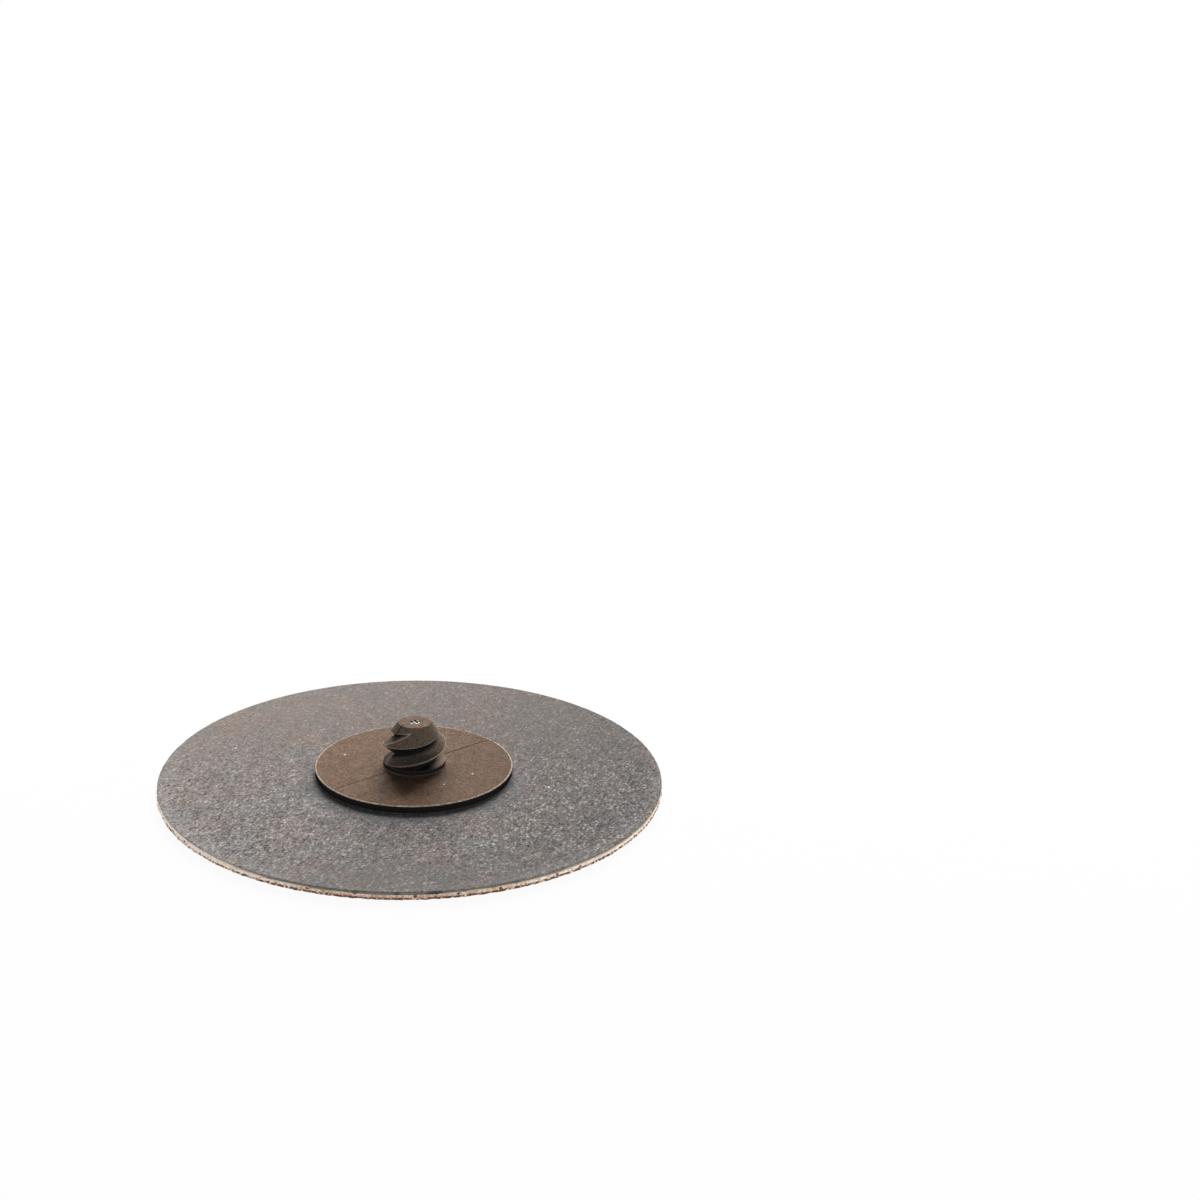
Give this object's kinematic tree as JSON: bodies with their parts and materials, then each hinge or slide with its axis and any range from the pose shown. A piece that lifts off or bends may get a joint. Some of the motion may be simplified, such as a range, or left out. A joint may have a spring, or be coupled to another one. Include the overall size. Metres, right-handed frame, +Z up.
{
  "type": "quick-change sanding disc",
  "caption": "Round cloth-backed abrasive disc lying grit face down, with a moulded threaded button bonded to the centre of its back.",
  "frame": {"origin": "centre of the grit face, on the surface that the disc lies on", "axes": "+Z up along the stud, away from the grit face; +X to the right and +Y away in the picture"},
  "size_m": [0.0762, 0.0762, 0.0091],
  "materials": {
    "abrasive_grain": "coarse mineral grain under a golden yellow resin coat",
    "abrasive_cloth": "cream cloth, seen only as a cut edge",
    "backing_cloth": "grey resin-filled cloth, fine mottle and short pale flecks",
    "button_nylon": "matte warm brown moulded nylon"
  },
  "bodies": {
    "root": {"grain_coat": "abrasive_grain", "abrasive_cloth": "abrasive_cloth", "backing_cloth": "backing_cloth", "threaded_button": "button_nylon"}
  },
  "joints": []
}
